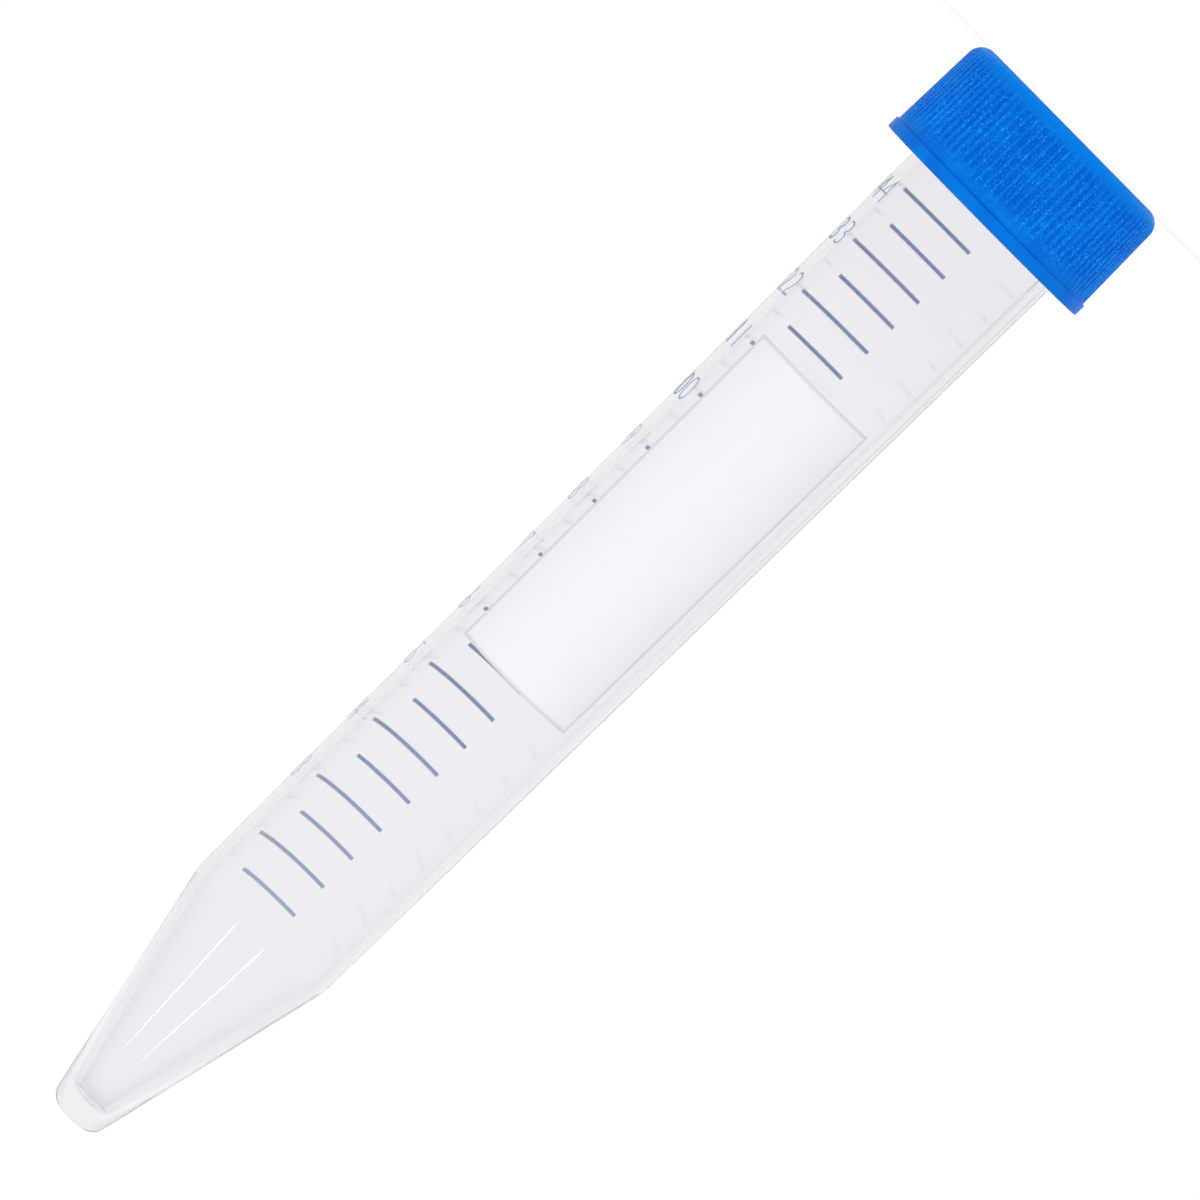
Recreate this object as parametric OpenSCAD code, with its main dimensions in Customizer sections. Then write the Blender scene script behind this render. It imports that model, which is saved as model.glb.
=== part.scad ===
// 15 ml conical tube with a ribbed screw cap, for spinning and storing small liquid samples.
// Each piece is drawn upright, with the blunt tip at the origin and the mouth at the top.
// stood() then turns the whole part over, because it stands by itself only on its flat cap.
// Angles round the wall are counted from the front, and grow towards the right as the tube
// is read, cap up. All sizes are in millimetres and degrees.

/* [Tube] */
// Length of the tube alone, from the tip to the rim
tube_l = 118.6; // [102:0.1:130]
// Height of the cone, from the tip to the shoulder
cone_l = 23.1; // [19:0.1:27]
// Outer diameter at the shoulder, where the cone meets the straight wall
shoulder_d = 15.25; // [13.6:0.05:17]
// Outer diameter of the blunt tip, before its edge is rounded
tip_d = 4.9; // [4.2:0.1:6.4]
// Draft of the straight wall on each side, for leaving the mould
wall_draft = 0.39; // [0.25:0.01:0.7]
// Thickness of the straight wall
wall_t = 0.93; // [0.7:0.01:1.2]
// Thickness of the plastic under the inner floor
floor_t = 2.2; // [1.4:0.1:3]
// Thickness of the wall beside the inner floor
tip_wall_t = 1.5; // [1.1:0.1:1.9]
// Outer edge radius of the tip
tip_edge_r = 1.5; // [0.8:0.1:1.9]
// Radius at the foot of the cone, inside
floor_edge_r = 0.8; // [0.4:0.1:1]
// Radius that blends the cone into the straight wall
shoulder_r = 6; // [2:0.5:12]
// Radius of both edges of the rim
rim_edge_r = 0.3; // [0.1:0.05:0.33]

/* [Thread on the neck] */
// Rise of the thread in one turn
thread_pitch = 3; // [2:0.1:3.6]
// Turns of the thread, with its run-outs
thread_turns = 1.75; // [1:0.05:1.8]
// Height of the thread above the wall
thread_h = 0.75; // [0.4:0.05:1]
// Width of the thread where it leaves the wall
thread_foot_w = 1.5; // [1.1:0.1:1.8]
// Width of the flat crest of the thread
thread_crest_w = 0.6; // [0.3:0.1:0.9]
// Distance from the rim down to the middle of the thread's upper end
thread_drop = 2; // [1.2:0.1:2.4]
// Angle over which each end of the thread runs out into the wall
thread_runout = 40; // [20:5:90]

/* [Cap] */
// Height of the cap over all
cap_h = 10.7; // [10.5:0.1:14]
// Thickness of the flat top of the cap
cap_top_t = 1.25; // [0.8:0.05:2]
// Thickness of the skirt at its foot, from the bore to the rib crests
skirt_t = 1.86; // [1.2:0.02:2.6]
// Draft of the ribbed side
cap_draft = 1.4; // [0.4:0.1:2]
// Radius of the top edge, over which the ribs fade out
cap_edge_r = 1.5; // [0.7:0.1:2]
// Height of the plain flange at the foot of the skirt
flange_h = 1.14; // [0.8:0.02:2]
// How far the flange stands out past the rib crests
flange_out = 0.2; // [0.1:0.02:1]
// Radius of the flange's edges
flange_edge_r = 0.15; // [0.05:0.05:0.35]
// Number of ribs round the cap
rib_count = 90; // [60:1:100]
// Depth of the grooves between the ribs
groove_depth = 0.25; // [0.15:0.01:0.4]
// Width of a groove at the rib crests
groove_w = 0.5; // [0.3:0.01:0.6]
// Width of a groove's floor
groove_floor_w = 0.16; // [0.1:0.01:0.25]
// Plain band between the flange and the ends of the grooves
groove_foot = 0.1; // [0.05:0.01:0.5]

/* [Plug seal] */
// Length of the sealing ring that plugs the mouth
plug_l = 2.2; // [1.4:0.1:3]
// Thickness of the sealing ring
plug_t = 0.8; // [0.6:0.05:1.2]

/* [Fits] */
// Gap between the rim and the underside of the cap
seat_gap = 0.15; // [0.05:0.01:0.3]
// Gap between the sealing ring and the mouth, on each side
plug_clearance = 0.08; // [0.05:0.01:0.15]
// Gap between the thread crest and the bore of the skirt, on each side
thread_clearance = 0.2; // [0.1:0.01:0.4]

/* [Print] */
// Lowest graduation line, in millilitres
first_ml = 1.5; // [1.5:0.5:3]
// Highest graduation line, in millilitres
last_ml = 14; // [8:0.5:14]
// Steps from line to line, in millilitres
step_ml = 0.5; // [0.5:0.5:1]
// Width of a printed line
line_w = 0.4; // [0.25:0.05:0.6]
// Angle from the front, round the left side to the back, at which every line starts
lines_start = 190; // [180:1:195]
// Angle that a whole millilitre's line takes up
long_sweep = 75.5; // [60:0.5:80]
// Angle that a half millilitre's line takes up
short_sweep = 55; // [40:1:60]
// Height of the writing panel's lower edge above the tip
panel_z = 54; // [48:0.1:56]
// Height of the writing panel
panel_h = 35.7; // [25:0.1:36]
// Width of the writing panel, measured round the wall
panel_w = 13.8; // [10:0.1:15]
// Angle from the front to the middle of the writing panel
panel_turn = 1.9; // [-5:0.1:10]
// Thickness of the ink
ink_t = 0.05; // [0.03:0.01:0.1]

/* [Hidden] */
$fn = 96;

EPS = 0.01;            // the least gap or overlap that keeps two faces apart or together
ARC_STEP = 9;          // angle between two points of a rounded corner
THREAD_STEP = 7.5;     // angle between two sections of the thread
THREAD_ROOT = 0.3;     // depth to which the thread is rooted in the wall, for a sound joint
GROOVE_OVER = 0.4;     // how far a groove's cutter reaches out past the rib crests
MM3_PER_ML = 1000;

// Where the pieces meet
draft_slope = tan(wall_draft);
cone_slope = (shoulder_d - tip_d) / 2 / cone_l;
cap_slope = tan(cap_draft);
under_z = tube_l + seat_gap;
overall_l = under_z + cap_top_t;
skirt_z = overall_l - cap_h;
ribs_z = skirt_z + flange_h;
plug_z = under_z - plug_l;

// Radii that follow the walls
function wall_r(z) = shoulder_d / 2 + (z - cone_l) * draft_slope;
function bore_r(z) = wall_r(z) - wall_t;
function crest_r(z) = skirt_bore_r + skirt_t - (z - ribs_z) * cap_slope;
floor_r = tip_d / 2 + floor_t * cone_slope - tip_wall_t;
skirt_bore_r = wall_r(tube_l) + thread_h + thread_clearance;
plug_r = bore_r(plug_z) - plug_clearance;

// Angle that a length takes up round the wall at a height
function turn(length, z) = length / wall_r(z) * 180 / PI;
panel_half = turn(panel_w / 2, panel_z + panel_h / 2);

// Height to which a volume fills the tube. The cone's part is a frustum, and above it the
// bore widens by the draft, so its radius cubed grows in step with the volume.
cone_ml = PI / 3 * (cone_l - floor_t)
        * (pow(bore_r(cone_l), 2) + bore_r(cone_l) * floor_r + pow(floor_r, 2)) / MM3_PER_ML;
function filled_r(ml) =
    pow(pow(bore_r(cone_l), 3) + 3 * draft_slope * (ml - cone_ml) * MM3_PER_ML / PI, 1 / 3);
function fill_z(ml) = cone_l + (filled_r(ml) - bore_r(cone_l)) / draft_slope;

// The points of one corner [radius, height, edge radius] of an outline, rounded by an arc
function corner(before, at, after) =
    let (b = [at[0], at[1]],
         u = unit([before[0], before[1]] - b),
         v = unit([after[0], after[1]] - b),
         half = acos(u * v) / 2,
         centre = b + unit(u + v) * at[2] / sin(half),
         first = b + u * at[2] / tan(half) - centre,
         last = b + v * at[2] / tan(half) - centre,
         sweep = 180 - 2 * half,
         steps = ceil(sweep / ARC_STEP))
    [for (k = [0:steps])
        centre + (sin((1 - k / steps) * sweep) * first + sin(k / steps * sweep) * last) / sin(sweep)];

function unit(v) = v / norm(v);

// An outline through a ring of corners, with arcs at those that have an edge radius
function rounded(path) =
    [for (i = [0:len(path) - 1])
        each path[i][2] == 0
            ? [[path[i][0], path[i][1]]]
            : corner(path[(i + len(path) - 1) % len(path)], path[i], path[(i + 1) % len(path)])];

// Turns the upright part over and stands it on its cap
module stood() {
    translate([0, 0, overall_l])
        rotate([0, 180, 0])
            children();
}

// A stretch of the wall, from one angle to another, as an outline [radius, height] swept round
module round_the_wall(from, to) {
    rotate([0, 0, from - 90])
        rotate_extrude(angle = to - from)
            children();
}

// Section of an ink film on the straight wall, between two heights
module ink_section(low, high) {
    inner = wall_r(0) + EPS;
    polygon([
        [inner + low * draft_slope, low],
        [inner + low * draft_slope + ink_t, low],
        [inner + high * draft_slope + ink_t, high],
        [inner + high * draft_slope, high]
    ]);
}

module tube_body() {
    rotate_extrude()
        polygon(rounded([
            [0, 0, 0],
            [tip_d / 2, 0, tip_edge_r],
            [shoulder_d / 2, cone_l, shoulder_r],
            [wall_r(tube_l), tube_l, rim_edge_r],
            [bore_r(tube_l), tube_l, rim_edge_r],
            [bore_r(cone_l), cone_l, shoulder_r],
            [floor_r, floor_t, floor_edge_r],
            [0, floor_t, 0]
        ]));
}

// Section of the thread at an angle along it: root, crest, crest, root, from below upwards.
// At both ends the crest sinks into the wall.
function thread_section(turned) =
    let (rise = min(1, turned / thread_runout, (thread_turns * 360 - turned) / thread_runout),
         z = tube_l - thread_drop - thread_turns * thread_pitch + turned / 360 * thread_pitch,
         root = wall_r(z) - THREAD_ROOT,
         crest = root + (THREAD_ROOT + thread_h) * max(rise, EPS) + EPS)
    [for (p = [[root, -thread_foot_w / 2], [crest, -thread_crest_w / 2],
               [crest, thread_crest_w / 2], [root, thread_foot_w / 2]])
        [p[0] * cos(turned), p[0] * sin(turned), z + p[1]]];

module neck_thread() {
    steps = ceil(thread_turns * 360 / THREAD_STEP);
    points = [for (k = [0:steps]) each thread_section(k / steps * thread_turns * 360)];
    sides = [for (k = [0:steps - 1], c = [0:3])
        let (a = 4 * k + c, b = 4 * k + (c + 1) % 4)
        each [[a, b, b + 4], [a, b + 4, a + 4]]];
    polyhedron(points, concat([[3, 2, 1, 0]], sides, [[for (c = [0:3]) 4 * steps + c]]));
}

module tube() {
    color([0.93, 0.93, 0.95, 0.6])
        stood() {
            tube_body();
            neck_thread();
        }
}

// One groove between two ribs, leaning in with the draft
module rib_groove() {
    widening = (groove_w - groove_floor_w) / 2 / groove_depth;
    mouth = groove_w / 2 + GROOVE_OVER * widening;
    start_z = ribs_z + groove_foot;
    translate([crest_r(start_z), 0, start_z])
        rotate([0, -cap_draft, 0])
            linear_extrude(cap_h)
                polygon([
                    [-groove_depth, -groove_floor_w / 2],
                    [GROOVE_OVER, -mouth],
                    [GROOVE_OVER, mouth],
                    [-groove_depth, groove_floor_w / 2]
                ]);
}

module cap_body() {
    flange_r = crest_r(ribs_z) + flange_out;
    rotate_extrude()
        polygon(rounded([
            [skirt_bore_r, skirt_z, flange_edge_r],
            [flange_r, skirt_z, flange_edge_r],
            [flange_r, ribs_z, flange_edge_r],
            [crest_r(ribs_z), ribs_z, 0],
            [crest_r(overall_l), overall_l, cap_edge_r],
            [0, overall_l, 0],
            [0, under_z, 0],
            [plug_r - plug_t, under_z, plug_t / 2],
            [plug_r - plug_t, plug_z, plug_t / 4],
            [plug_r, plug_z, plug_t / 2],
            [plug_r, under_z, 0],
            [skirt_bore_r, under_z, cap_top_t / 4]
        ]));
}

module cap() {
    color([0.01, 0.42, 0.86])
        stood()
            difference() {
                cap_body();
                for (i = [0:rib_count - 1])
                    rotate([0, 0, i * 360 / rib_count])
                        rib_groove();
            }
}

module writing_panel() {
    color([0.98, 0.98, 0.98])
        stood()
            round_the_wall(panel_turn - panel_half, panel_turn + panel_half)
                ink_section(panel_z, panel_z + panel_h);
}

// The scale is printed on the back and read through the tube, or past its left side. Whole
// millilitres have long lines and halves have short ones. A line that would fall on the cone
// or under the cap is left out, as on the real scale.
module graduation_lines() {
    color([0.15, 0.22, 0.45])
        stood()
            for (ml = [first_ml:step_ml:last_ml]) {
                z = fill_z(ml);
                sweep = ml == floor(ml) ? long_sweep : short_sweep;
                if (z > cone_l + 2 * line_w && z < skirt_z - 2 * line_w)
                    round_the_wall(-lines_start, sweep - lines_start)
                        ink_section(z - line_w / 2, z + line_w / 2);
            }
}

cap();
tube();
writing_panel();
graduation_lines();
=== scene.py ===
"""15 ml conical tube with a ribbed screw cap: fine shapes, finishes, light and camera.

The part stands upside down on its flat cap, because it can't stand on its tip. Pieces are
modelled in millimetres and upright, with the tip at the origin and the mouth at the top, and
are then turned over and brought into the frame. Angles round the wall are counted from the
front, and grow towards the right as the tube is read, cap up.
"""

import logging
import math
from dataclasses import dataclass, field, replace
from enum import Enum
from typing import Any, Callable, Iterable, Sequence

import bpy
import bmesh
from mathutils import Matrix, Vector

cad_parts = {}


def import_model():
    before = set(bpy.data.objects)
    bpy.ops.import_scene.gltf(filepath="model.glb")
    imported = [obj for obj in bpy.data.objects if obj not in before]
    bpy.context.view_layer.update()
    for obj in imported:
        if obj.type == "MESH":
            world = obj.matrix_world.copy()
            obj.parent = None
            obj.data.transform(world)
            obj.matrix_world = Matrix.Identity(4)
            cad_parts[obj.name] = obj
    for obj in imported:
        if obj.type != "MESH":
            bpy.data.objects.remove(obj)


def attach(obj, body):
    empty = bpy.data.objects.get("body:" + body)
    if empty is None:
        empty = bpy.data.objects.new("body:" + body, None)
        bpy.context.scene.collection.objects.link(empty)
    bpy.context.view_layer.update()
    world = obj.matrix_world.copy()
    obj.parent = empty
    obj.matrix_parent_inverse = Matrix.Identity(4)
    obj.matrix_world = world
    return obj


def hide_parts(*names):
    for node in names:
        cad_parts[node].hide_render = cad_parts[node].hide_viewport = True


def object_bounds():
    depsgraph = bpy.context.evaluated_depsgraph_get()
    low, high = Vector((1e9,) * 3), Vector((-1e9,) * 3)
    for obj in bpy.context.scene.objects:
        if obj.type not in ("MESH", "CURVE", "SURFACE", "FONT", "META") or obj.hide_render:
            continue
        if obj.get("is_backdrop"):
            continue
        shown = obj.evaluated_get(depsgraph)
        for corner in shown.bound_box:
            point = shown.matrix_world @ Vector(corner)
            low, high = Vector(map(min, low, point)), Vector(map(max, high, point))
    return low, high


log = logging.getLogger("conical_tube")

MM = 0.001
NOISE_MIDDLE = 0.5
Point = tuple[float, float]
Triple = tuple[float, float, float]
Colour = Triple


class Body(Enum):
    """The moving bodies of the frame, on which the pieces ride."""

    CAP = "cap"
    TUBE = "tube"


class Slot(Enum):
    """The material slots of the record."""

    CAP = "cap"
    TUBE = "tube"
    WHITE_INK = "white_ink"
    BLUE_INK = "blue_ink"


# Outlines

def rounded(path: Sequence[Triple], step: float = 4.0, hold: float = 0.3) -> list[Point]:
    """Rounds the corners of an open outline.

    Args:
        path: corners (radius, height, edge radius) in order.
        step: angle in degrees between two points of an arc.
        hold: distance past an arc at which a straight stretch gets one more point, so that
            the stretch beyond it is shaded truly straight.

    Returns:
        The points (radius, height) of the outline.
    """
    points: list[Point] = []
    last = len(path) - 1
    for i, (radius, height, edge) in enumerate(path):
        at = Vector((radius, height))
        if edge == 0 or i in (0, last):
            points.append((radius, height))
            continue
        to_before = (Vector(path[i - 1][:2]) - at).normalized()
        to_after = (Vector(path[i + 1][:2]) - at).normalized()
        half = to_before.angle(to_after) / 2
        middle = at + (to_before + to_after).normalized() * edge / math.sin(half)
        reach = edge / math.tan(half)
        first = at + to_before * reach - middle
        end = at + to_after * reach - middle
        sweep = math.pi - 2 * half
        steps = max(2, math.ceil(math.degrees(sweep) / step))
        for k in range(steps + 1):
            share = k / steps
            spoke = math.sin((1 - share) * sweep) * first + math.sin(share * sweep) * end
            points.append(tuple(middle + spoke / math.sin(sweep)))
    return held(points, hold)


def held(points: Sequence[Point], hold: float) -> list[Point]:
    """Adds a point near both ends of each stretch that is long beside hold.

    Args:
        points: the outline's points.
        hold: distance of the new points from the stretch's ends.

    Returns:
        The outline with the new points.
    """
    result = [points[0]]
    for before, after in zip(points, points[1:]):
        a, b = Vector(before), Vector(after)
        length = (b - a).length
        if length > 4 * hold:
            result.append(tuple(a.lerp(b, hold / length)))
            result.append(tuple(b.lerp(a, hold / length)))
        result.append(after)
    return result


# The bench: modelling with Blender's own tools

class Bench:
    """Models one piece at a time with Blender's operators, in millimetres and upright."""

    TINY = 5e-4
    SAME = 1e-5

    @staticmethod
    def clear() -> None:
        """Leaves edit mode and deselects everything."""
        if bpy.context.object and bpy.context.object.mode != "OBJECT":
            bpy.ops.object.mode_set(mode="OBJECT")
        bpy.ops.object.select_all(action="DESELECT")

    @staticmethod
    def pick(*pieces: bpy.types.Object) -> None:
        """Selects these pieces alone, and makes the first one active.

        Args:
            pieces: the objects to select.
        """
        Bench.clear()
        for piece in pieces:
            piece.select_set(True)
        bpy.context.view_layer.objects.active = pieces[0]

    @staticmethod
    def select(test: Callable[[Any], bool], kind: str = "verts") -> None:
        """Selects, in edit mode, the verts, edges or faces that pass a test, and no others.

        Args:
            test: gets a bmesh element and says whether it is wanted.
            kind: "verts", "edges" or "faces".
        """
        mesh = bpy.context.object.data
        shape = bmesh.from_edit_mesh(mesh)
        modes = {"verts": "VERT", "edges": "EDGE", "faces": "FACE"}
        bpy.ops.mesh.select_mode(type=modes[kind])
        bpy.ops.mesh.select_all(action="DESELECT")
        for element in getattr(shape, kind):
            if test(element):
                element.select_set(True)
        shape.select_flush_mode()
        bmesh.update_edit_mesh(mesh)

    @staticmethod
    def lathe(name: str, outline: Sequence[Point], sides: int) -> bpy.types.Object:
        """Draws a ring out along an outline, and closes its two ends with flat faces.

        Args:
            name: the new object's name.
            outline: points (radius, height), from one flat end to the other.
            sides: how many sides the ring has.

        Returns:
            The new object, in object mode.
        """
        Bench.clear()
        radius, height = outline[0]
        bpy.ops.mesh.primitive_circle_add(vertices=sides, radius=radius, location=(0, 0, height))
        piece = bpy.context.object
        piece.name = name
        bpy.ops.object.transform_apply(location=True, rotation=False, scale=False)
        bpy.ops.object.mode_set(mode="EDIT")
        bpy.ops.mesh.select_mode(type="EDGE")
        bpy.ops.mesh.select_all(action="SELECT")
        for (r, z), (r_next, z_next) in zip(outline, outline[1:]):
            bpy.ops.mesh.extrude_edges_move(TRANSFORM_OT_translate={"value": (0, 0, z_next - z)})
            grow = r_next / r
            bpy.ops.transform.resize(value=(grow, grow, 1), center_override=(0, 0, z_next))
        bpy.ops.mesh.edge_face_add()
        Bench.select(lambda edge: edge.is_boundary, "edges")
        bpy.ops.mesh.edge_face_add()
        Bench.mend()
        return piece

    @staticmethod
    def mend() -> None:
        """Merges doubles and turns all faces outwards, and goes back to object mode."""
        bpy.ops.mesh.select_all(action="SELECT")
        bpy.ops.mesh.remove_doubles(threshold=Bench.SAME)
        bpy.ops.mesh.normals_make_consistent(inside=False)
        bpy.ops.object.mode_set(mode="OBJECT")

    @staticmethod
    def apply(piece: bpy.types.Object, kind: str, **settings: Any) -> None:
        """Adds a modifier to a piece and applies it.

        Args:
            piece: the object.
            kind: the modifier's type.
            settings: the modifier's properties.
        """
        Bench.pick(piece)
        bpy.ops.object.modifier_add(type=kind)
        modifier = piece.modifiers[-1]
        for key, value in settings.items():
            setattr(modifier, key, value)
        bpy.ops.object.modifier_apply(modifier=modifier.name)

    @staticmethod
    def unite(piece: bpy.types.Object, other: bpy.types.Object) -> None:
        """Fuses another closed solid into a piece, and clears away faces without area.

        Args:
            piece: the object that stays.
            other: the object that is used up.
        """
        Bench.apply(piece, "BOOLEAN", operation="UNION", solver="EXACT", object=other)
        bpy.data.objects.remove(other)
        bpy.ops.object.mode_set(mode="EDIT")
        bpy.ops.mesh.select_all(action="SELECT")
        bpy.ops.mesh.dissolve_degenerate(threshold=Bench.TINY)
        Bench.mend()

    @staticmethod
    def copy(piece: bpy.types.Object) -> bpy.types.Object:
        """Copies a piece together with its mesh.

        Args:
            piece: the object to copy.

        Returns:
            The copy.
        """
        Bench.pick(piece)
        bpy.ops.object.duplicate(linked=False)
        return bpy.context.object

    @staticmethod
    def join(name: str, pieces: Sequence[bpy.types.Object]) -> bpy.types.Object:
        """Joins pieces into one object.

        Args:
            name: the name of the whole.
            pieces: the objects, of which the first one stays.

        Returns:
            The whole.
        """
        Bench.pick(*pieces)
        bpy.ops.object.transform_apply(location=True, rotation=True, scale=True)
        bpy.ops.object.join()
        whole = bpy.context.object
        whole.name = name
        return whole

    @staticmethod
    def stand(piece: bpy.types.Object, overall: float, crease: float = 35.0) -> None:
        """Turns an upright piece over onto the cap, brings it to metres and smooths it.

        Args:
            piece: the object, in millimetres.
            overall: height of the whole part in millimetres.
            crease: angle in degrees past which an edge stays sharp.
        """
        Bench.pick(piece)
        piece.location = (0, 0, overall * MM)
        piece.rotation_euler = (0, math.pi, 0)
        piece.scale = (MM, MM, MM)
        bpy.ops.object.transform_apply(location=True, rotation=True, scale=True)
        bpy.ops.object.shade_smooth_by_angle(angle=math.radians(crease))
        piece.data.name = piece.name


# Shader graphs

def operator(operation: str, turned: bool = False) -> Callable[["Wire", Any], "Wire"]:
    """Makes a method of Wire that adds a Math node.

    Args:
        operation: the node's operation.
        turned: whether the other value comes first, as the reflected operators need.

    Returns:
        The method.
    """
    def method(self: "Wire", other: Any) -> "Wire":
        """Adds the node for self and other, and returns its result."""
        return self.graph.math(operation, *((other, self) if turned else (self, other)))

    return method


class Wire:
    """A node's output socket. Python's operators on it add Math nodes."""

    __add__, __radd__ = operator("ADD"), operator("ADD", True)
    __sub__, __rsub__ = operator("SUBTRACT"), operator("SUBTRACT", True)
    __mul__, __rmul__ = operator("MULTIPLY"), operator("MULTIPLY", True)
    __truediv__, __rtruediv__ = operator("DIVIDE"), operator("DIVIDE", True)
    larger = operator("MAXIMUM")
    below = operator("LESS_THAN")

    def __init__(self, graph: "Graph", socket: bpy.types.NodeSocket | None) -> None:
        """Keeps the graph and the socket.

        Args:
            graph: the graph in which new nodes are made.
            socket: the output socket, or None for a node that has none.
        """
        self.graph = graph
        self.socket = socket

    def __abs__(self) -> "Wire":
        """The value without its sign."""
        return self.graph.math("ABSOLUTE", self)


class Graph:
    """The node graph of one material, or of the world."""

    def __init__(self, tree: bpy.types.NodeTree) -> None:
        """Empties the tree.

        Args:
            tree: the node tree to fill.
        """
        self.tree = tree
        tree.nodes.clear()

    def node(self, kind: str, settings: dict[str, Any] | None = None,
             inputs: dict[Any, Any] | None = None, output: int | str = 0) -> Wire:
        """Adds a node.

        Args:
            kind: the node's type.
            settings: its properties, such as an operation, which are set first.
            inputs: values or wires for its input sockets, by name or number.
            output: the name or number of the output socket that is wanted.

        Returns:
            The output socket.
        """
        node = self.tree.nodes.new(kind)
        for key, value in (settings or {}).items():
            setattr(node, key, value)
        for key, value in (inputs or {}).items():
            socket = node.inputs[key]
            if isinstance(value, Wire):
                self.tree.links.new(value.socket, socket)
            else:
                socket.default_value = value
        return Wire(self, node.outputs[output] if len(node.outputs) else None)

    def math(self, operation: str, *values: "Wire | float") -> Wire:
        """Adds a Math node.

        Args:
            operation: its operation.
            values: its inputs, in order.

        Returns:
            The result.
        """
        return self.node("ShaderNodeMath", {"operation": operation}, dict(enumerate(values)))

    def place(self) -> Wire:
        """The point on the piece, in metres in the frame."""
        return self.node("ShaderNodeTexCoord", output="Object")

    def split(self, vector: Wire) -> tuple[Wire, Wire, Wire]:
        """Splits a vector into its three parts.

        Args:
            vector: the vector.

        Returns:
            Its x, y and z.
        """
        node = self.node("ShaderNodeSeparateXYZ", inputs={0: vector}).socket.node
        return tuple(Wire(self, socket) for socket in node.outputs)

    def reach(self, x: Wire, y: Wire) -> Wire:
        """Distance from the part's axis.

        Args:
            x: the point's first part.
            y: the point's second part.

        Returns:
            The distance.
        """
        return self.math("SQRT", x * x + y * y)

    def grain(self, size: float, detail: float = 2.0, stretch: Triple = (1, 1, 1)) -> Wire:
        """Noise of a given grain size.

        Args:
            size: the grain in millimetres.
            detail: how many finer layers the noise has.
            stretch: how much finer the grain is along x, y and z.

        Returns:
            The noise, from 0 to 1.
        """
        place = self.node("ShaderNodeMapping", inputs={"Vector": self.place(), "Scale": stretch})
        return self.node("ShaderNodeTexNoise",
                         inputs={"Vector": place, "Scale": 1 / (size * MM), "Detail": detail})

    def ramp(self, value: Wire, low: float, high: float, start: float = 0, end: float = 1) -> Wire:
        """Maps a value smoothly from one range to another.

        Args:
            value: the value.
            low: where the result is start.
            high: where the result is end.
            start: the result at and below low.
            end: the result at and above high.

        Returns:
            The mapped value.
        """
        return self.node("ShaderNodeMapRange", {"interpolation_type": "SMOOTHSTEP"},
                         {0: value, 1: low, 2: high, 3: start, 4: end})

    def blend(self, share: Wire, first: "Colour | Wire", second: "Colour | Wire") -> Wire:
        """Mixes two colours.

        Args:
            share: how much of the second colour there is.
            first: the first colour.
            second: the second colour.

        Returns:
            The mixed colour.
        """
        colours = [c if isinstance(c, Wire) else (*c, 1) for c in (first, second)]
        return self.node("ShaderNodeMix", {"data_type": "RGBA"},
                         {0: share, 6: colours[0], 7: colours[1]}, output=2)

    def bump(self, height: Wire, depth: float) -> Wire:
        """Turns a height into a bumped normal.

        Args:
            height: the height, from 0 to 1.
            depth: the height of 1, in millimetres.

        Returns:
            The normal.
        """
        return self.node("ShaderNodeBump",
                         inputs={"Height": height, "Distance": depth * MM, "Strength": 1.0})


# Finishes

@dataclass(frozen=True)
class Finish:
    """A surface finish. Its subclasses say what changes over the surface."""

    name: str
    colour: Colour
    roughness: float
    specular: float = 0.5

    def vary(self, graph: Graph) -> dict[str, Any]:
        """The shader inputs that change over the surface, or that only this finish has.

        Args:
            graph: the graph in which the nodes are made.

        Returns:
            Wires and values by the names of the shader's sockets.
        """
        return {}

    def material(self) -> bpy.types.Material:
        """Makes the material.

        Returns:
            The new material.
        """
        material = bpy.data.materials.new(self.name)
        material.use_nodes = True
        material.diffuse_color = (*self.colour, 1)
        graph = Graph(material.node_tree)
        inputs = {"Base Color": (*self.colour, 1), "Roughness": self.roughness,
                  "Specular IOR Level": self.specular}
        shader = graph.node("ShaderNodeBsdfPrincipled", inputs=inputs | self.vary(graph))
        graph.node("ShaderNodeOutputMaterial", inputs={"Surface": shader})
        return material


@dataclass(frozen=True)
class ClearPlastic(Finish):
    """Moulded clear plastic, with a faint haze, waves from the mould and painted shade.

    A pattern is (grain in millimetres, finer layers), and a range along the part is in metres.
    """

    index: float = 1.49
    cloud: Point = (6.0, 3.0)
    cloud_range: Point = (0.35, 0.7)
    haze: float = 0.02
    swell: Point = (9.0, 1.0)
    swell_stretch: Triple = (1, 1, 0.35)
    swell_depth: float = 0.0005
    # Painted shade: darker tints of the glass near the neck, on the cone and at the tip.
    neck_colour: Colour = (0.912, 0.906, 0.931)
    neck: Point = (0.012, 0.034)
    cone_colour: Colour = (0.926, 0.922, 0.944)
    cone: Point = (0.093, 0.1)
    tip_colour: Colour = (0.875, 0.867, 0.89)
    tip: Point = (0.115, 0.1182)

    def vary(self, graph: Graph) -> dict[str, Any]:
        """Light passes through; painted shade darkens it near the neck, cone and tip. See
        Finish.vary.
        """
        cloud = graph.grain(*self.cloud)
        swell = graph.grain(*self.swell, self.swell_stretch)
        _, _, height = graph.split(graph.place())
        shaded_tint = graph.blend(graph.ramp(height, *self.neck), self.neck_colour, self.colour)
        shaded_tint = graph.blend(graph.ramp(height, *self.cone), shaded_tint, self.cone_colour)
        return {
            "Base Color": graph.blend(graph.ramp(height, *self.tip), shaded_tint, self.tip_colour),
            "Transmission Weight": 1.0,
            "IOR": self.index,
            "Roughness": graph.ramp(cloud, *self.cloud_range,
                                    self.roughness, self.roughness + self.haze),
            "Normal": graph.bump(swell, self.swell_depth),
        }


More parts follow.
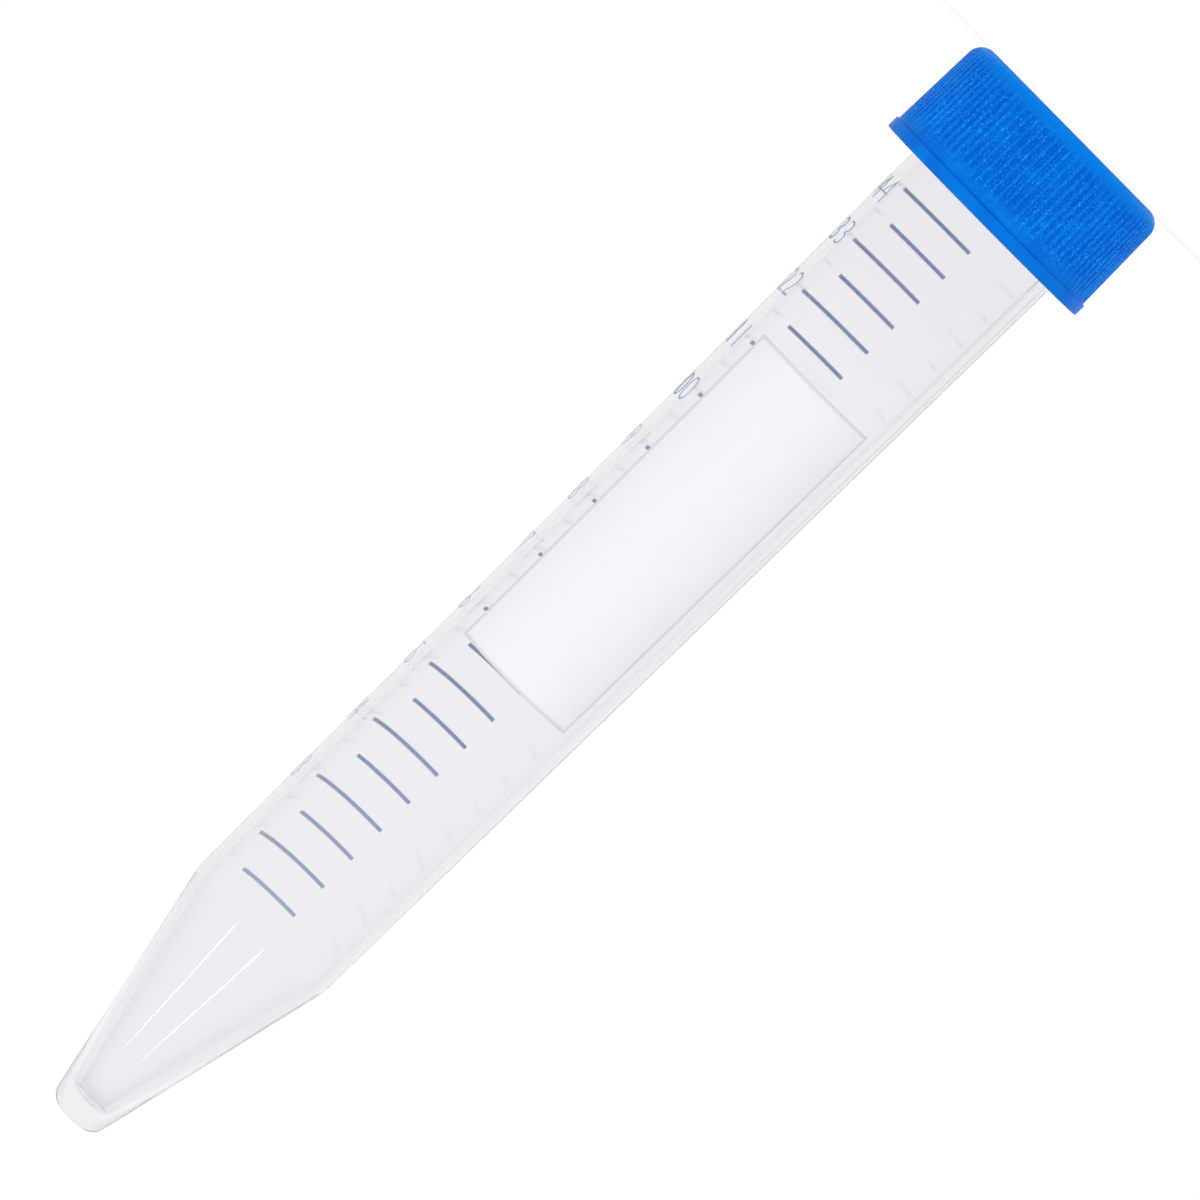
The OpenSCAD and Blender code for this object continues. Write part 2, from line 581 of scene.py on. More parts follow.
@dataclass(frozen=True)
class CapPlastic(Finish):
    """Satin moulded plastic: pores with painted glints on the ribs, a rim painted lighter, and a
    painted glow.

    The rim and the plug glow faintly, a painted light for the light that reaches them
    through the clear wall and from under the rim.
    """

    light: Colour = (0.001, 0.216, 0.83)
    cloud: Point = (2.5, 3.0)
    cloud_range: Point = (0.35, 0.75)
    pore: Point = (0.15, 2.0)
    pore_depth: float = 0.008
    gloss_swing: float = 0.16
    # Painted highlight: light spots in the base colour, standing in for glints on the ribs.
    glint: Colour = (0.02, 0.44, 1.0)
    glint_share: Point = (0.56, 0.68)
    glint_end: Point = (0.0006, 0.002)
    glint_start: Point = (0.0078, 0.0096)
    # Painted light: the rim by the floor is painted lighter than the body.
    rim_colour: Colour = (0.002, 0.285, 0.93)
    rim: Point = (0.0003, 0.0018)
    # Painted light: a glow on the cap's lower edge and on the plug's underside.
    rim_glow: Colour = (0.0, 0.07, 0.15)
    rim_glow_end: Point = (0.00015, 0.00075)
    plug_r: float = 0.0083
    plug_glow: Colour = (0.0, 0.07, 0.34)

    def vary(self, graph: Graph) -> dict[str, Any]:
        """The colour clouds and fine pores roughen the surface; glints, rim and glow are painted
        light. See Finish.vary.
        """
        cloud = graph.ramp(graph.grain(*self.cloud), *self.cloud_range)
        pores = graph.grain(*self.pore)
        x, y, height = graph.split(graph.place())
        body = graph.blend(cloud, self.colour, self.light)
        # Painted light on the rim.
        body = graph.blend(graph.ramp(height, *self.rim), self.rim_colour, body)
        ribbed = graph.ramp(height, *self.glint_end) * graph.ramp(height, *self.glint_start, 1, 0)
        # Painted highlights on the pores of the ribs.
        painted_glints = graph.ramp(pores, *self.glint_share) * ribbed
        # Painted glow under the rim and on the plug.
        low = graph.ramp(height, *self.rim_glow_end)
        plug = graph.reach(x, y).below(self.plug_r) * low
        edge = graph.blend(low, self.rim_glow, (0, 0, 0))
        return {
            "Emission Color": graph.blend(plug, edge, self.plug_glow),
            "Emission Strength": 1.0,
            "Base Color": graph.blend(painted_glints, body, self.glint),
            "Roughness": self.roughness + (pores - NOISE_MIDDLE) * self.gloss_swing,
            "Normal": graph.bump(pores, self.pore_depth),
        }


@dataclass(frozen=True)
class PrintedInk(Finish):
    """Screen-printed ink, slightly uneven, and thinner or thicker along the part."""

    worn: Colour = (0.5, 0.5, 0.55)
    mottle: Point = (0.12, 3.0)
    mottle_range: Point = (0.35, 0.85)
    mottle_depth: float = 0.004
    gloss_swing: float = 0.2
    uneven: float = 0.5
    sheer: float = 0.0
    cover: Point = (1.0, 1.0)
    fade: Point = (0.06, 0.105)

    def vary(self, graph: Graph) -> dict[str, Any]:
        """The ink's colour and gloss are mottled. See Finish.vary."""
        laydown = graph.grain(*self.mottle)
        _, _, height = graph.split(graph.place())
        return {
            "Transmission Weight": self.sheer,
            "Alpha": graph.ramp(height, *self.fade, *self.cover),
            "Base Color": graph.blend(graph.ramp(laydown, *self.mottle_range, 0, self.uneven),
                                      self.colour, self.worn),
            "Roughness": self.roughness + (laydown - NOISE_MIDDLE) * self.gloss_swing,
            "Normal": graph.bump(laydown, self.mottle_depth),
        }


@dataclass(frozen=True)
class PanelInk(PrintedInk):
    """White ink with a faint grey line round it, and a back with a painted glow for light shining
    through.

    The panel lies at middle (angle, height) and reaches half (angle, height) to each side. Its
    back lies nearer the axis than back_r (radius at height 0, growth).
    """

    edge: Colour = (0.72, 0.72, 0.745)
    edge_w: float = 0.5
    wall_r: float = 8.0
    middle: Point = (0.0, 0.0)
    half: Point = (1.0, 1.0)
    back_r: Point = (1.0, 0.0)
    # Painted light: the back glows for the light that shines through the ink.
    back_glow: Colour = (0.33, 0.328, 0.335)

    def vary(self, graph: Graph) -> dict[str, Any]:
        """Adds the edge line and the back's painted glow to the mottle. See Finish.vary."""
        changes = super().vary(graph)
        x, y, z = graph.split(graph.place())
        turn = graph.math("ARCTAN2", x, 0 - y)
        across = abs(turn - self.middle[0]) / self.half[0]
        along = abs(z - self.middle[1]) / self.half[1]
        near_side = graph.ramp(across, 1 - self.edge_w / self.wall_r / self.half[0], 1)
        near_end = graph.ramp(along, 1 - self.edge_w * MM / self.half[1], 1)
        changes["Base Color"] = graph.blend(near_side.larger(near_end), changes["Base Color"],
                                            self.edge)
        # Painted glow on the panel's back.
        inner = graph.reach(x, y).below(self.back_r[0] + z * self.back_r[1])
        changes["Emission Color"] = graph.blend(inner, (0, 0, 0), self.back_glow)
        changes["Emission Strength"] = 1.0
        return changes


# The tube

@dataclass
class Wall:
    """The shape of the wall, from which the tube, its thread and the print take their place."""

    length: float = 118.6
    cone_l: float = 23.1
    shoulder_d: float = 15.25
    tip_d: float = 4.9
    draft: float = 0.39
    thick: float = 0.93
    floor_t: float = 2.2
    tip_wall: float = 1.5
    seat_gap: float = 0.15
    cap_top: float = 1.25

    @property
    def overall(self) -> float:
        """Height of the whole part on its cap."""
        return self.length + self.seat_gap + self.cap_top

    @property
    def slope(self) -> float:
        """How much the wall's radius grows for each millimetre towards the mouth."""
        return math.tan(math.radians(self.draft))

    @property
    def cone_slope(self) -> float:
        """How much the cone's radius grows for each millimetre."""
        return (self.shoulder_d - self.tip_d) / 2 / self.cone_l

    @property
    def floor_r(self) -> float:
        """Radius of the inner floor."""
        return self.tip_d / 2 + self.floor_t * self.cone_slope - self.tip_wall

    def outside(self, height: float) -> float:
        """Outer radius of the straight wall at a height."""
        return self.shoulder_d / 2 + (height - self.cone_l) * self.slope

    def inside(self, height: float) -> float:
        """Inner radius of the straight wall at a height."""
        return self.outside(height) - self.thick

    def fill_height(self, millilitres: float) -> float:
        """Height to which a volume fills the tube.

        Args:
            millilitres: the volume.

        Returns:
            The height above the tip.
        """
        bore = self.inside(self.cone_l)
        cone = math.pi / 3 * (self.cone_l - self.floor_t) * (
            bore ** 2 + bore * self.floor_r + self.floor_r ** 2)
        above = millilitres * 1000 - cone
        radius = (bore ** 3 + 3 * self.slope * above / math.pi) ** (1 / 3)
        return self.cone_l + (radius - bore) / self.slope


@dataclass
class Helix:
    """A thread ridge that runs out into its wall at both ends."""

    root_r: float
    crest_r: float
    start: float
    pitch: float = 3.0
    turns: float = 1.75
    foot_w: float = 1.5
    crest_w: float = 0.6
    runout: float = 40.0
    sunk: float = 0.05
    steps: int = 126

    def build(self, name: str) -> bpy.types.Object:
        """Sweeps the ridge's section along the helix.

        Args:
            name: the new object's name.

        Returns:
            The ridge as a closed solid.
        """
        Bench.clear()
        depth = abs(self.crest_r - self.root_r)
        bpy.ops.mesh.primitive_plane_add(
            size=self.foot_w, location=((self.crest_r + self.root_r) / 2, 0, self.start),
            rotation=(math.pi / 2, 0, 0))
        ridge = bpy.context.object
        ridge.name = name
        bpy.ops.transform.resize(value=(depth / self.foot_w, 1, 1))
        bpy.ops.object.transform_apply(location=True, rotation=True, scale=True)
        bpy.ops.object.mode_set(mode="EDIT")
        Bench.select(lambda vert: self._on_crest(vert.co))
        bpy.ops.transform.resize(value=(1, 1, self.crest_w / self.foot_w),
                                 center_override=(self.crest_r, 0, self.start))
        bpy.ops.object.mode_set(mode="OBJECT")
        Bench.apply(ridge, "SCREW", axis="Z", angle=math.radians(360 * self.turns),
                    screw_offset=self.pitch * self.turns, iterations=1, steps=self.steps,
                    render_steps=self.steps, use_merge_vertices=False)
        bpy.ops.object.mode_set(mode="EDIT")
        self._run_out()
        Bench.select(lambda edge: edge.is_boundary or edge.is_wire, "edges")
        bpy.ops.mesh.edge_face_add()
        Bench.mend()
        return ridge

    def _on_crest(self, place: Vector) -> bool:
        """Whether a point lies nearer the crest than the root."""
        radius = math.hypot(place.x, place.y)
        return abs(radius - self.crest_r) < abs(radius - self.root_r)

    def _turned(self, place: Vector) -> float:
        """How far round the helix a point lies, in degrees from the start."""
        angle = math.degrees(math.atan2(place.y, place.x))
        rise = (place.z - self.start) / self.pitch * 360
        return angle + 360 * round((rise - angle) / 360)

    def _run_out(self) -> None:
        """Sinks the crest into the wall towards both ends, one section at a time."""
        whole = 360 * self.turns
        step = whole / self.steps
        low = self.root_r + (self.crest_r - self.root_r) * self.sunk
        for k in range(math.ceil(self.runout / step)):
            share = math.sin(k * step / self.runout * math.pi / 2)
            shrink = (low + (self.crest_r - low) * share) / self.crest_r
            for turn in (k * step, whole - k * step):
                Bench.select(lambda vert: self._on_crest(vert.co)
                             and abs(self._turned(vert.co) - turn) < step / 2)
                bpy.ops.transform.resize(value=(shrink, shrink, 1), center_override=(0, 0, 0))


@dataclass
class TubeBody:
    """The moulded tube: blunt tip, cone, straight wall, rim and neck thread."""

    wall: Wall
    tip_middle: float = 0.5
    tip_edge: float = 1.5
    floor_middle: float = 0.3
    floor_edge: float = 1.3
    shoulder_blend: float = 2.0
    rim_edge: float = 0.3
    thread_h: float = 0.75
    thread_root: float = 0.3
    thread_drop: float = 2.0
    arc_step: float = 1.5
    sides: int = 288

    def outline(self) -> list[Point]:
        """Draws the tube's outline.

        Returns:
            Points from the middle of the tip round the rim to the inner floor.
        """
        w = self.wall
        return rounded([
            (self.tip_middle, 0, 0),
            (w.tip_d / 2, 0, self.tip_edge),
            (w.shoulder_d / 2, w.cone_l, self.shoulder_blend),
            (w.outside(w.length), w.length, self.rim_edge),
            (w.inside(w.length), w.length, self.rim_edge),
            (w.inside(w.cone_l), w.cone_l, self.shoulder_blend),
            (w.floor_r, w.floor_t, self.floor_edge),
            (self.floor_middle, w.floor_t, 0),
        ], step=self.arc_step)

    def thread(self) -> bpy.types.Object:
        """Models the neck's thread, which is too short to lean with the wall's draft.

        Returns:
            The ridge.
        """
        w = self.wall
        turns, pitch = Helix.turns, Helix.pitch
        start = w.length - self.thread_drop - turns * pitch
        neck = w.outside(start + turns * pitch / 2)
        return Helix(neck - self.thread_root, neck + self.thread_h, start).build("neck_thread")

    def build(self) -> bpy.types.Object:
        """Models the tube.

        Returns:
            The tube as one closed solid, in the frame.
        """
        tube = Bench.lathe("clear_tube", self.outline(), self.sides)
        Bench.unite(tube, self.thread())
        Bench.stand(tube, self.wall.overall)
        return tube


# The cap

@dataclass
class ScrewCap:
    """The ribbed cap with its flange, plug seal and inner thread."""

    wall: Wall
    height: float = 10.7
    skirt_t: float = 1.86
    draft: float = 1.4
    edge: float = 1.5
    flange_h: float = 1.14
    flange_out: float = 0.2
    flange_edge: float = 0.12
    ribs: int = 90
    groove_depth: float = 0.25
    groove_side: float = 0.17
    groove_foot: float = 0.1
    groove_fade: float = 1.5
    groove_top: float = 1.1
    plug_l: float = 2.2
    plug_t: float = 0.8
    plug_gap: float = 0.08
    thread_gap: float = 0.2
    thread_h: float = 0.75
    thread_root: float = 0.3
    thread_turns: float = 1.5
    thread_foot: float = 1.3
    thread_crest: float = 0.5
    thread_steps: int = 108
    top_middle: float = 2.0
    under_middle: float = 1.0
    arc_step: float = 9.0
    sides_per_rib: int = 3

    @property
    def foot(self) -> float:
        """Height of the skirt's foot above the tip."""
        return self.wall.overall - self.height

    @property
    def ribs_foot(self) -> float:
        """Height at which the ribs start, above the flange."""
        return self.foot + self.flange_h

    @property
    def bore(self) -> float:
        """Radius inside the skirt."""
        return self.wall.outside(self.wall.length) + self.thread_h + self.thread_gap

    def crest(self, height: float) -> float:
        """Radius over the rib crests at a height."""
        return self.bore + self.skirt_t - (height - self.ribs_foot) * math.tan(
            math.radians(self.draft))

    def outline(self) -> list[Point]:
        """Draws the cap's outline.

        Returns:
            Points from the middle of its top down its side, round the plug to its underside.
        """
        w = self.wall
        flange = self.crest(self.ribs_foot) + self.flange_out
        under = w.length + w.seat_gap
        plug_z = under - self.plug_l
        plug = w.inside(plug_z) - self.plug_gap
        low = self.ribs_foot + self.groove_foot
        return rounded([
            (self.top_middle, w.overall, 0),
            (self.crest(w.overall), w.overall, self.edge),
            (self.crest(low + self.groove_fade), low + self.groove_fade, 0),
            (self.crest(low + self.groove_fade / 2), low + self.groove_fade / 2, 0),
            (self.crest(low), low, 0),
            (self.crest(self.ribs_foot), self.ribs_foot, 0),
            (flange, self.ribs_foot, self.flange_edge),
            (flange, self.foot, self.flange_edge),
            (self.bore, self.foot, self.flange_edge),
            (self.bore, under, w.cap_top / 4),
            (plug, under, 0),
            (plug, plug_z, self.plug_t / 2),
            (plug - self.plug_t, plug_z, self.plug_t / 4),
            (plug - self.plug_t, under, self.plug_t / 2),
            (self.under_middle, under, 0),
        ], step=self.arc_step)

    def _cut_grooves(self, cap: bpy.types.Object) -> None:
        """Presses the grooves between the ribs into the side, shallower towards both ends.

        Args:
            cap: the plain turned cap.
        """
        low = self.ribs_foot + self.groove_foot
        top = self.wall.overall - self.edge
        high = top + self.groove_top
        pitch = 360 / self.ribs
        crest_share = 1 / self.sides_per_rib

        def in_groove(face: Any) -> bool:
            """Whether a face of the side lies between two crests."""
            middle = face.calc_center_median()
            outer = math.hypot(middle.x, middle.y) > self.bore + self.skirt_t / 2
            if not (outer and low < middle.z < high):
                return False
            turned = math.degrees(math.atan2(middle.y, middle.x)) + pitch * crest_share / 4
            return turned % pitch > pitch * crest_share

        Bench.pick(cap)
        bpy.ops.object.mode_set(mode="EDIT")
        Bench.select(in_groove, "faces")
        bpy.ops.mesh.inset(thickness=self.groove_side, depth=0, use_boundary=True)
        shape = bmesh.from_edit_mesh(cap.data)
        floor = {vert.index: vert.co.copy() for vert in shape.verts if vert.select}
        for level in sorted({round(place.z, 3) for place in floor.values()}):
            ring = {k for k, place in floor.items() if round(place.z, 3) == level}
            radius = max(floor[k].xy.length for k in ring)
            share = min(1, (level - low) / self.groove_fade, (high - level) / self.groove_top)
            deep = radius - self.groove_depth * max(0, share)
            Bench.select(lambda vert: vert.index in ring)
            bpy.ops.transform.resize(value=(deep / radius, deep / radius, 1),
                                     center_override=(0, 0, level))
        bpy.ops.object.mode_set(mode="OBJECT")

    def thread(self) -> bpy.types.Object:
        """Models the cap's own thread, half a pitch below the neck's, on which it pulls.

        Returns:
            The ridge.
        """
        start = self.wall.length - TubeBody.thread_drop - (self.thread_turns + 0.5) * Helix.pitch
        return Helix(self.bore + self.thread_root, self.bore - self.thread_h, start,
                     turns=self.thread_turns, foot_w=self.thread_foot, crest_w=self.thread_crest,
                     steps=self.thread_steps).build("cap_thread")

    def build(self) -> bpy.types.Object:
        """Models the cap.

        Returns:
            The cap as one closed solid, in the frame.
        """
        cap = Bench.lathe("ribbed_cap", self.outline(), self.ribs * self.sides_per_rib)
        self._cut_grooves(cap)
        Bench.unite(cap, self.thread())
        Bench.stand(cap, self.wall.overall)
        return cap


# The print

@dataclass
class Film:
    """A stretch of printed ink, sunk a little into the wall, so that no gap lies behind it."""

    wall: Wall
    bond: float = 0.01
    proud: float = 0.03
    step: float = 2.0

    def strip(self, name: str, low: float, high: float,
              first: float, last: float) -> bpy.types.Object:
        """Spins a thin upright section round the wall.

        Args:
            name: the new object's name.
            low: height of the lower edge.
            high: height of the upper edge.
            first: angle of the left edge from the front.
            last: angle of the right edge from the front.

        Returns:
            The strip as a closed solid.
        """
        Bench.clear()
        bpy.ops.mesh.primitive_plane_add(
            size=high - low,
            location=(self.wall.outside(low) + (self.proud - self.bond) / 2, 0, (low + high) / 2),
            rotation=(math.pi / 2, 0, 0))
        strip = bpy.context.object
        strip.name = name
        bpy.ops.transform.resize(value=((self.proud + self.bond) / (high - low), 1, 1))
        bpy.ops.object.transform_apply(location=True, rotation=True, scale=True)
        bpy.ops.object.mode_set(mode="EDIT")
        Bench.select(lambda vert: vert.co.z > (low + high) / 2)
        bpy.ops.transform.translate(value=((high - low) * self.wall.slope, 0, 0))
        bpy.ops.mesh.select_mode(type="FACE")
        bpy.ops.mesh.select_all(action="SELECT")
        bpy.ops.mesh.duplicate()
        bpy.ops.mesh.spin(steps=math.ceil((last - first) / self.step),
                          angle=math.radians(last - first), center=(0, 0, 0), axis=(0, 0, -1))
        Bench.mend()
        strip.rotation_euler = (0, 0, math.radians(first - 90))
        bpy.ops.object.transform_apply(location=False, rotation=True, scale=False)
        return strip


@dataclass
class WritingPanel:
    """The white area on the front, for the sample's name."""

    wall: Wall
    foot: float = 53.8
    height: float = 35.9
    width: float = 13.8
    turn: float = 1.9

    @property
    def half_angle(self) -> float:
        """Half of the angle that the panel takes up round the wall."""
        return math.degrees(self.width / 2 / self.wall.outside(self.foot + self.height / 2))

    def build(self) -> bpy.types.Object:
        """Models the panel.

        Returns:
            The panel's film, in the frame.
        """
        half = self.half_angle
        panel = Film(self.wall).strip("writing_area", self.foot, self.foot + self.height,
                                      self.turn - half, self.turn + half)
        Bench.stand(panel, self.wall.overall)
        return panel

    def finish(self) -> PanelInk:
        """Mixes the panel's ink, with its edge line fitted to the panel.

        Returns:
            The finish.
        """
        middle = self.wall.overall - self.foot - self.height / 2
        return PanelInk("white_screen_ink", (0.93, 0.925, 0.965), roughness=0.55, specular=0.1,
                        worn=(0.89, 0.885, 0.925), uneven=0.4,
                        middle=(-math.radians(self.turn), middle * MM),
                        half=(math.radians(self.half_angle), self.height / 2 * MM),
                        back_r=((self.wall.outside(self.wall.overall) + Film.proud / 2) * MM,
                                -self.wall.slope))


@dataclass
class Scale:
    """The millilitre scale on the back, which is read through the tube or past its side."""

    wall: Wall
    first_ml: float = 1.5
    last_ml: float = 14.0
    step_ml: float = 0.5
    line_w: float = 0.35
    lines_start: float = 190.0
    long_sweep: float = 75.5
    short_sweep: float = 55.0
    first_number: int = 3
    digit_h: float = 2.55
    digit_turns: Point = (-93.0, -76.6)
    last_drop: float = 1.0
    thinning: float = 0.02
    blank_depth: float = 0.5
    curve_steps: int = 6
    bends: int = 6

    def lines(self) -> bpy.types.Object:
        """Models one long and one short line, and copies them to every volume.

        Returns:
            All the lines as one piece, in the frame.
        """
        film = Film(self.wall)
        home = self.wall.cone_l
        masters = {
            whole: film.strip("line", home - self.line_w / 2, home + self.line_w / 2,
                              -self.lines_start, sweep - self.lines_start)
            for whole, sweep in ((True, self.long_sweep), (False, self.short_sweep))
        }
        copies = []
        count = round((self.last_ml - self.first_ml) / self.step_ml) + 1
        for k in range(count):
            volume = self.first_ml + k * self.step_ml
            height = self.wall.fill_height(volume)
            line = Bench.copy(masters[volume == int(volume)])
            grow = self.wall.outside(height) / self.wall.outside(home)
            line.scale = (grow, grow, 1)
            line.location.z = height - home
            copies.append(line)
        for master in masters.values():
            bpy.data.objects.remove(master)
        whole = Bench.join("scale_lines", copies)
        Bench.stand(whole, self.wall.overall)
        return whole

    def _digit(self, text: str) -> bpy.types.Object:
        """Cuts one digit as a flat upright plate, with its middle at the origin.

        Args:
            text: the digit.

        Returns:
            The digit, in strips that let it bend.
        """
        Bench.clear()
        bpy.ops.object.text_add(location=(0, 0, 0))
        digit = bpy.context.object
        digit.data.body = text
        digit.data.extrude = self.blank_depth
        digit.data.offset = -self.thinning
        digit.data.resolution_u = self.curve_steps
        bpy.ops.object.convert(target="MESH")
        bpy.ops.object.origin_set(type="ORIGIN_GEOMETRY", center="BOUNDS")
        width, height, depth = digit.dimensions
        grow = self.digit_h / height
        thick = Film.proud + Film.bond
        digit.scale = (grow, grow, thick / depth)
        digit.rotation_euler = (math.pi / 2, 0, 0)
        digit.location = (0, Film.bond - thick / 2, 0)
        bpy.ops.object.transform_apply(location=True, rotation=True, scale=True)
        bpy.ops.object.mode_set(mode="EDIT")
        for k in range(1, self.bends):
            bpy.ops.mesh.select_all(action="SELECT")
            bpy.ops.mesh.bisect(plane_co=(width * grow * (k / self.bends - 0.5), 0, 0),
                                plane_no=(1, 0, 0))
        Bench.mend()
        return digit

    def numbers(self) -> bpy.types.Object:
        """Sets the numbers beside the long lines, the last one a little lower.

        Returns:
            All the numbers as one piece, in the frame.
        """
        masters = {text: self._digit(text) for text in "0123456789"}
        copies = []
        for volume in range(self.first_number, int(self.last_ml) + 1):
            height = self.wall.fill_height(volume) - self.last_drop * (volume == self.last_ml)
            radius = self.wall.outside(height)
            for text, turn in zip(str(volume), map(math.radians, self.digit_turns)):
                digit = Bench.copy(masters[text])
                Bench.apply(digit, "SIMPLE_DEFORM", deform_method="BEND", deform_axis="Z",
                            angle=digit.dimensions.x / radius)
                digit.rotation_euler = (math.radians(self.wall.draft), 0, turn)
                digit.location = (radius * math.sin(turn), -radius * math.cos(turn), height)
                copies.append(digit)
        for master in masters.values():
            bpy.data.objects.remove(master)
        whole = Bench.join("scale_numbers", copies)
        Bench.stand(whole, self.wall.overall)
        return whole


# Stage, light and camera

@dataclass(frozen=True)
class Softbox:
    """An area lamp that faces the part."""

    name: str
    azimuth: float
    elevation: float
    distance: float
    width: float
    height: float
    power: float
    mirrored: bool = True

    def build(self, aim: Vector) -> bpy.types.Object:
        """Hangs the lamp.

        Args:
            aim: the point that the lamp faces.

        Returns:
            The lamp's object.
        """
        data = bpy.data.lights.new(self.name, "AREA")
        data.shape = "RECTANGLE"
        data.size, data.size_y = self.width, self.height
        data.energy = self.power
        turn, lift = math.radians(self.azimuth), math.radians(self.elevation)
        away = Vector((-math.sin(turn) * math.cos(lift), -math.cos(turn) * math.cos(lift),
                       math.sin(lift)))
        lamp = bpy.data.objects.new(self.name, data)
        lamp.location = aim + away * self.distance
        lamp.rotation_euler = away.to_track_quat("Z", "Y").to_euler()
        lamp.visible_glossy = self.mirrored
        lamp.visible_transmission = self.mirrored
        bpy.context.scene.collection.objects.link(lamp)
        return lamp


@dataclass
class Studio:
    """A pale floor, a white surround, soft lamps and the camera."""

    middle: Vector
    floor_size: float = 6.0
    floor_colour: Colour = (0.88, 0.88, 0.88)
    world_level: float = 0.62
    mirror_level: float = 1.0
    floor_glow: float = 0.75
    clear_floor: Point = (0.06, 0.5)
    backdrop: Point = (0.88, 1.0)
    side_level: float = 0.93
    side_tint: Colour = (0.968, 0.967, 0.986)
    lamps: tuple[Softbox, ...] = field(default_factory=lambda: (
        Softbox("key_softbox", -30, 36, 1.2, 0.7, 0.7, 3.4, mirrored=False),
        Softbox("fill_softbox", 30, 30, 1.3, 0.6, 0.6, 2.8, mirrored=False),
        Softbox("back_softbox", 180, 45, 1.4, 0.8, 0.6, 3.2, mirrored=False),
        Softbox("key_strip", -30, 34.9, 0.9, 0.024, 0.042, 0.026),
        Softbox("fill_strip", 23, 35.05, 0.9, 0.024, 0.047, 0.028),
    ))

    def floor(self) -> bpy.types.Object:
        """Lays the floor, which shows the part's shadow and fades to white farther away.

        Returns:
            The floor's object.
        """
        Bench.clear()
        bpy.ops.mesh.primitive_plane_add(size=self.floor_size, location=(0, 0, 0))
        floor = bpy.context.object
        floor.name = "studio_floor"
        material = bpy.data.materials.new("floor_paper")
        material.use_nodes = True
        graph = Graph(material.node_tree)
        paper = graph.node("ShaderNodeBsdfDiffuse", inputs={"Color": (*self.floor_colour, 1)})
        glow = graph.node("ShaderNodeEmission", inputs={"Color": (1, 1, 1, 1), "Strength": 1.0})
        x, y, _ = graph.split(graph.place())
        share = graph.ramp(graph.reach(x, y), *self.clear_floor, self.floor_glow, 1)
        both = graph.node("ShaderNodeMixShader",
                          inputs={0: self._seen(graph) * share, 1: paper, 2: glow})
        graph.node("ShaderNodeOutputMaterial", inputs={"Surface": both})
        floor.data.materials.append(material)
        floor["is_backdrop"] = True
        return floor

    @staticmethod
    def _seen(graph: Graph) -> Wire:
        """Finds the rays that come from the camera, a mirror or through clear plastic.

        Args:
            graph: the graph in which the nodes are made.

        Returns:
            1 for these rays, otherwise 0.
        """
        path = graph.node("ShaderNodeLightPath").socket.node
        rays = [Wire(graph, path.outputs[name])
                for name in ("Is Camera Ray", "Is Glossy Ray", "Is Transmission Ray")]
        return rays[0].larger(rays[1]).larger(rays[2])

    def surround(self) -> None:
        """Makes the world: even light on the part, and white where it is looked at."""
        world = bpy.data.worlds.new("studio_surround")
        world.use_nodes = True
        bpy.context.scene.world = world
        graph = Graph(world.node_tree)
        path = graph.node("ShaderNodeLightPath").socket.node
        looked_at, through, mirrored = (
            Wire(graph, path.outputs[name])
            for name in ("Is Camera Ray", "Is Transmission Ray", "Is Glossy Ray"))
        _, depth, _ = graph.split(graph.node("ShaderNodeTexCoord", output="Generated"))
        behind = graph.ramp(depth, *self.backdrop)
        seen_through = self.side_level + behind * (1 - self.side_level)
        light = self.world_level + mirrored * (self.mirror_level - self.world_level)
        light = light + through * (seen_through - light)
        level = light + looked_at * (1 - light)
        colour = graph.blend(through * (1 - behind), (1, 1, 1), self.side_tint)
        white = graph.node("ShaderNodeBackground", inputs={"Color": colour, "Strength": level})
        graph.node("ShaderNodeOutputWorld", inputs={"Surface": white})

    def build(self) -> None:
        """Builds the floor, the surround and the lamps."""
        self.floor()
        self.surround()
        for lamp in self.lamps:
            lamp.build(self.middle)


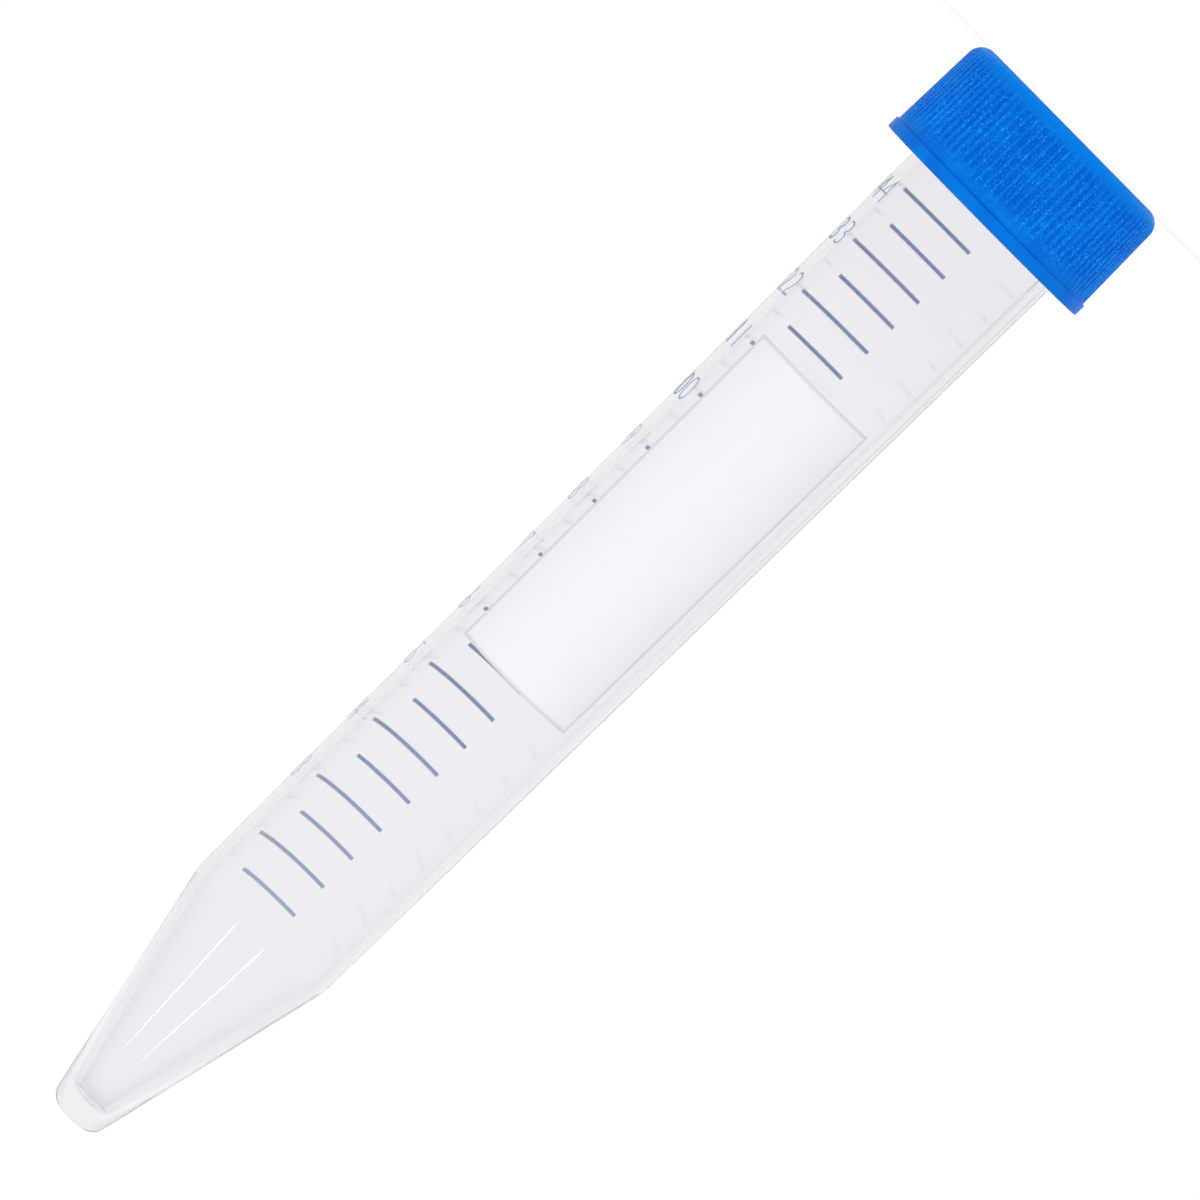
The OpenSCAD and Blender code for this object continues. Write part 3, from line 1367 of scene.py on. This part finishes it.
@dataclass
class Viewpoint:
    """The camera: level with the floor, tilted up at the part, and rolled."""

    distance: float = 0.6886
    aside: float = 0.00006
    height: float = 0.0004
    tilt: float = 4.651
    swing: float = 0.026
    roll: float = 225.453
    lens: float = 243.45
    sensor: float = 36.0
    clip: Point = (0.01, 20.0)

    def build(self) -> bpy.types.Object:
        """Places the camera.

        Returns:
            The camera's object.
        """
        data = bpy.data.cameras.new("camera")
        data.lens, data.sensor_width = self.lens, self.sensor
        data.clip_start, data.clip_end = self.clip
        camera = bpy.data.objects.new("camera", data)
        level = Matrix.Rotation(math.radians(90 + self.tilt), 4, "X")
        turn = Matrix.Rotation(math.radians(self.swing), 4, "Z")
        roll = Matrix.Rotation(math.radians(self.roll), 4, "Z")
        place = Matrix.Translation((self.aside, -self.distance, self.height))
        camera.matrix_world = place @ turn @ level @ roll
        bpy.context.scene.collection.objects.link(camera)
        bpy.context.scene.camera = camera
        return camera


# Assembly

def dress(piece: bpy.types.Object, finish: Finish, body: Body,
          nodes: Iterable[str] = ()) -> None:
    """Gives a piece its finish, its body and the nodes that it stands for.

    Args:
        piece: the finished piece.
        finish: its surface finish.
        body: the body that it rides on.
        nodes: the names of the plain nodes that it replaces.
    """
    piece.data.materials.clear()
    piece.data.materials.append(finish.material())
    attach(piece, body.value)
    for node in nodes:
        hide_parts(node)
    log.info("%s: %d faces, rides on %s", piece.name, len(piece.data.polygons), body.value)


def main() -> None:
    """Loads the frame, builds every piece in order, and sets up the studio."""
    logging.basicConfig(level=logging.INFO, format="%(name)s: %(message)s")
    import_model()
    plain_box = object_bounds()

    wall = Wall()
    blue_ink = PrintedInk("blue_screen_ink", (0.12, 0.29, 0.68), roughness=0.5, specular=0.2,
                          worn=(0.23, 0.41, 0.78), uneven=0.35, sheer=0.6, cover=(0.83, 0.53))
    panel = WritingPanel(wall)
    scale = Scale(wall)
    dress(TubeBody(wall).build(),
          ClearPlastic("clear_moulded_plastic", (0.93, 0.926, 0.948), roughness=0.04),
          Body.TUBE, ["tube"])
    dress(ScrewCap(wall).build(),
          CapPlastic("blue_moulded_plastic", (0.0005, 0.17, 0.755), roughness=0.42,
                     specular=0.04),
          Body.CAP, ["cap"])
    dress(panel.build(), panel.finish(), Body.TUBE, ["writing_panel"])
    dress(scale.lines(), blue_ink, Body.TUBE, ["graduation_lines"])
    dress(scale.numbers(), replace(blue_ink, name="blue_number_ink", cover=(0.5, 0.42)),
          Body.TUBE)

    low, high = plain_box
    Studio(middle=(low + high) / 2).build()
    Viewpoint().build()
    bpy.context.scene.view_settings.view_transform = "Standard"


if __name__ == "__main__":
    main()
